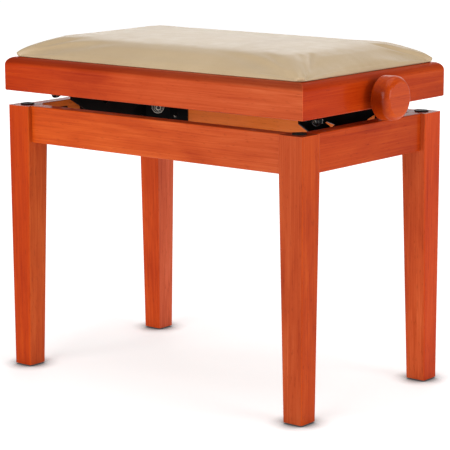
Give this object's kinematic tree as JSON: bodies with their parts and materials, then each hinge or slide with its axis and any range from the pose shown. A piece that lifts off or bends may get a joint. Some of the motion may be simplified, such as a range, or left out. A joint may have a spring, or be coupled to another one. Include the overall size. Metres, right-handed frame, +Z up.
{
  "type": "adjustable piano bench",
  "caption": "Rectangular piano bench with a padded seat on a scissor lift, raised and lowered by a spindle with a round knob at one end.",
  "frame": {"origin": "on the floor, under the middle of the whole object's box, knob included", "axes": "+X along the bench towards the hand knob, +Y across it from the front, +Z up"},
  "size_m": [0.6, 0.34, 0.507],
  "materials": {
    "cherry_wood": "satin cherry stain",
    "plain_wood": "unfinished",
    "black_steel": "satin black paint",
    "zinc_steel": "zinc plated",
    "dark_steel": "black zinc plated",
    "black_rubber": "matt",
    "nylon": "matt",
    "beige_upholstery": "soft satin leatherette"
  },
  "bodies": {
    "base": {"leg_front_left": "cherry_wood", "leg_front_right": "cherry_wood", "leg_back_left": "cherry_wood", "leg_back_right": "cherry_wood", "apron_front": "cherry_wood", "apron_back": "cherry_wood", "apron_left": "cherry_wood", "apron_right": "cherry_wood", "corner_bracket_front_left": "black_steel", "corner_bracket_front_right": "black_steel", "corner_bracket_back_left": "black_steel", "corner_bracket_back_right": "black_steel", "bracket_screws": "dark_steel", "hanger_bolts": "dark_steel", "hanger_washers": "dark_steel", "hanger_nuts": "dark_steel", "leg_top_pads": "black_rubber", "foot_glides": "black_rubber", "end_bracket_left": "black_steel", "end_bracket_right": "black_steel", "end_bracket_screws": "dark_steel", "base_rail_front": "black_steel", "base_rail_back": "black_steel", "rail_bolts": "dark_steel", "base_pivot_bolts": "zinc_steel"},
    "outer_arms": {"outer_arm_front": "black_steel", "outer_arm_back": "black_steel", "centre_pivot_pins": "zinc_steel", "upper_slide_axle": "zinc_steel", "upper_slide_bushes": "nylon"},
    "inner_arms": {"inner_arm_front": "black_steel", "inner_arm_back": "black_steel", "seat_pivot_axle": "zinc_steel", "lower_slide_pins": "zinc_steel", "lower_slide_bushes": "nylon"},
    "seat": {"seat_angle_front": "black_steel", "seat_angle_back": "black_steel", "seat_angle_screws": "zinc_steel", "seat_rail_front": "cherry_wood", "seat_rail_back": "cherry_wood", "seat_rail_left": "cherry_wood", "seat_rail_right": "cherry_wood", "corner_blocks": "plain_wood", "block_screws": "zinc_steel", "seat_board": "plain_wood", "cushion": "beige_upholstery", "spindle_end_bearing": "black_steel", "spindle_bush": "zinc_steel"},
    "spindle": {"spindle": "zinc_steel", "spindle_collars": "zinc_steel", "knob_ferrule": "black_steel", "knob": "cherry_wood"},
    "nut": {"nut_block": "zinc_steel"}
  },
  "joints": [
    {"name": "lift", "type": "hinge", "parent": "base", "child": "outer_arms", "pos_m": [0.12, 0, 0.419], "axis": [0, 1, 0], "range_deg": [-4.04, 17.08]},
    {"name": "scissor_centre", "type": "hinge", "parent": "outer_arms", "child": "inner_arms", "pos_m": [-0.01884, 0, 0.437], "axis": [0, 1, 0], "range_deg": [-34.18, 8.1]},
    {"name": "seat_pivot", "type": "hinge", "parent": "inner_arms", "child": "seat", "pos_m": [0.12, 0, 0.455], "axis": [0, 1, 0], "range_deg": [-4.06, 17.1]},
    {"name": "nut_pivot", "type": "hinge", "parent": "outer_arms", "child": "nut", "pos_m": [-0.15768, 0, 0.455], "axis": [0, 1, 0], "range_deg": [-17.1, 4.06]},
    {"name": "knob_turn", "type": "hinge", "parent": "seat", "child": "spindle", "pos_m": [0.26, 0, 0.44], "axis": [1, 0, 0], "range_deg": [-427.01, 1798.82]}
  ],
  "couplings": [
    {"joint": "scissor_centre", "follows": "lift", "ratio": -2},
    {"joint": "seat_pivot", "follows": "lift", "ratio": 1},
    {"joint": "nut_pivot", "follows": "lift", "ratio": -1},
    {"joint": "knob_turn", "follows": "lift", "ratio": 105.2}
  ]
}
